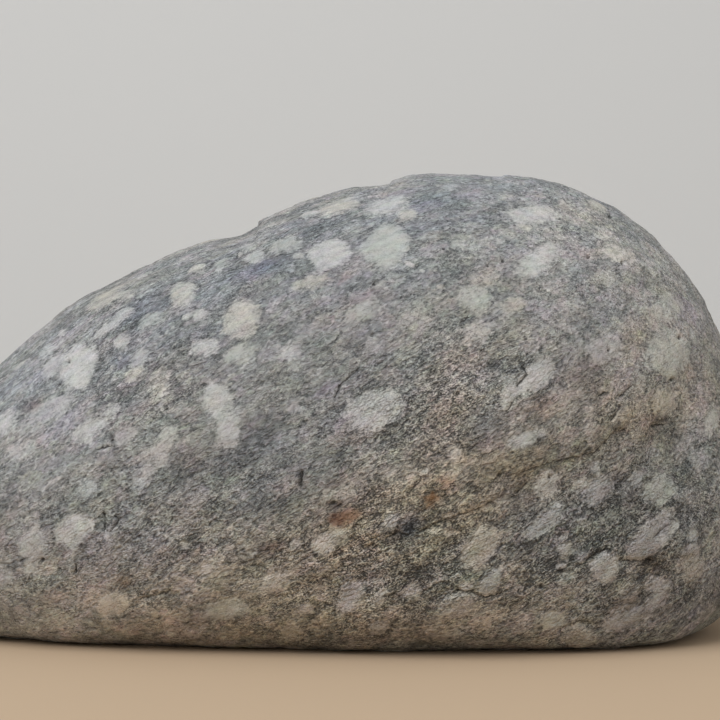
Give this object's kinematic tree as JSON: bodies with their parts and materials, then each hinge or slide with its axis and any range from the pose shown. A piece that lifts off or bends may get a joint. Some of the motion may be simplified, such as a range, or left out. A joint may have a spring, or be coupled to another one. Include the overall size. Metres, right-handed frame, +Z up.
{
  "type": "river pebble",
  "caption": "Water-worn grey stone with pale crystal eyes, blunt at one end and tapering at the other, flat underneath; lies loose as decoration, ballast or bed filling.",
  "frame": {"origin": "under the middle of the stone's bounding box, on the surface that it rests on", "axes": "+X along the stone towards its blunt end, +Y away from its broad front face, +Z up"},
  "size_m": [0.1328, 0.0914, 0.0667],
  "materials": {
    "stone": "matte"
  },
  "bodies": {
    "root": {"river_pebble": "stone"}
  },
  "joints": []
}
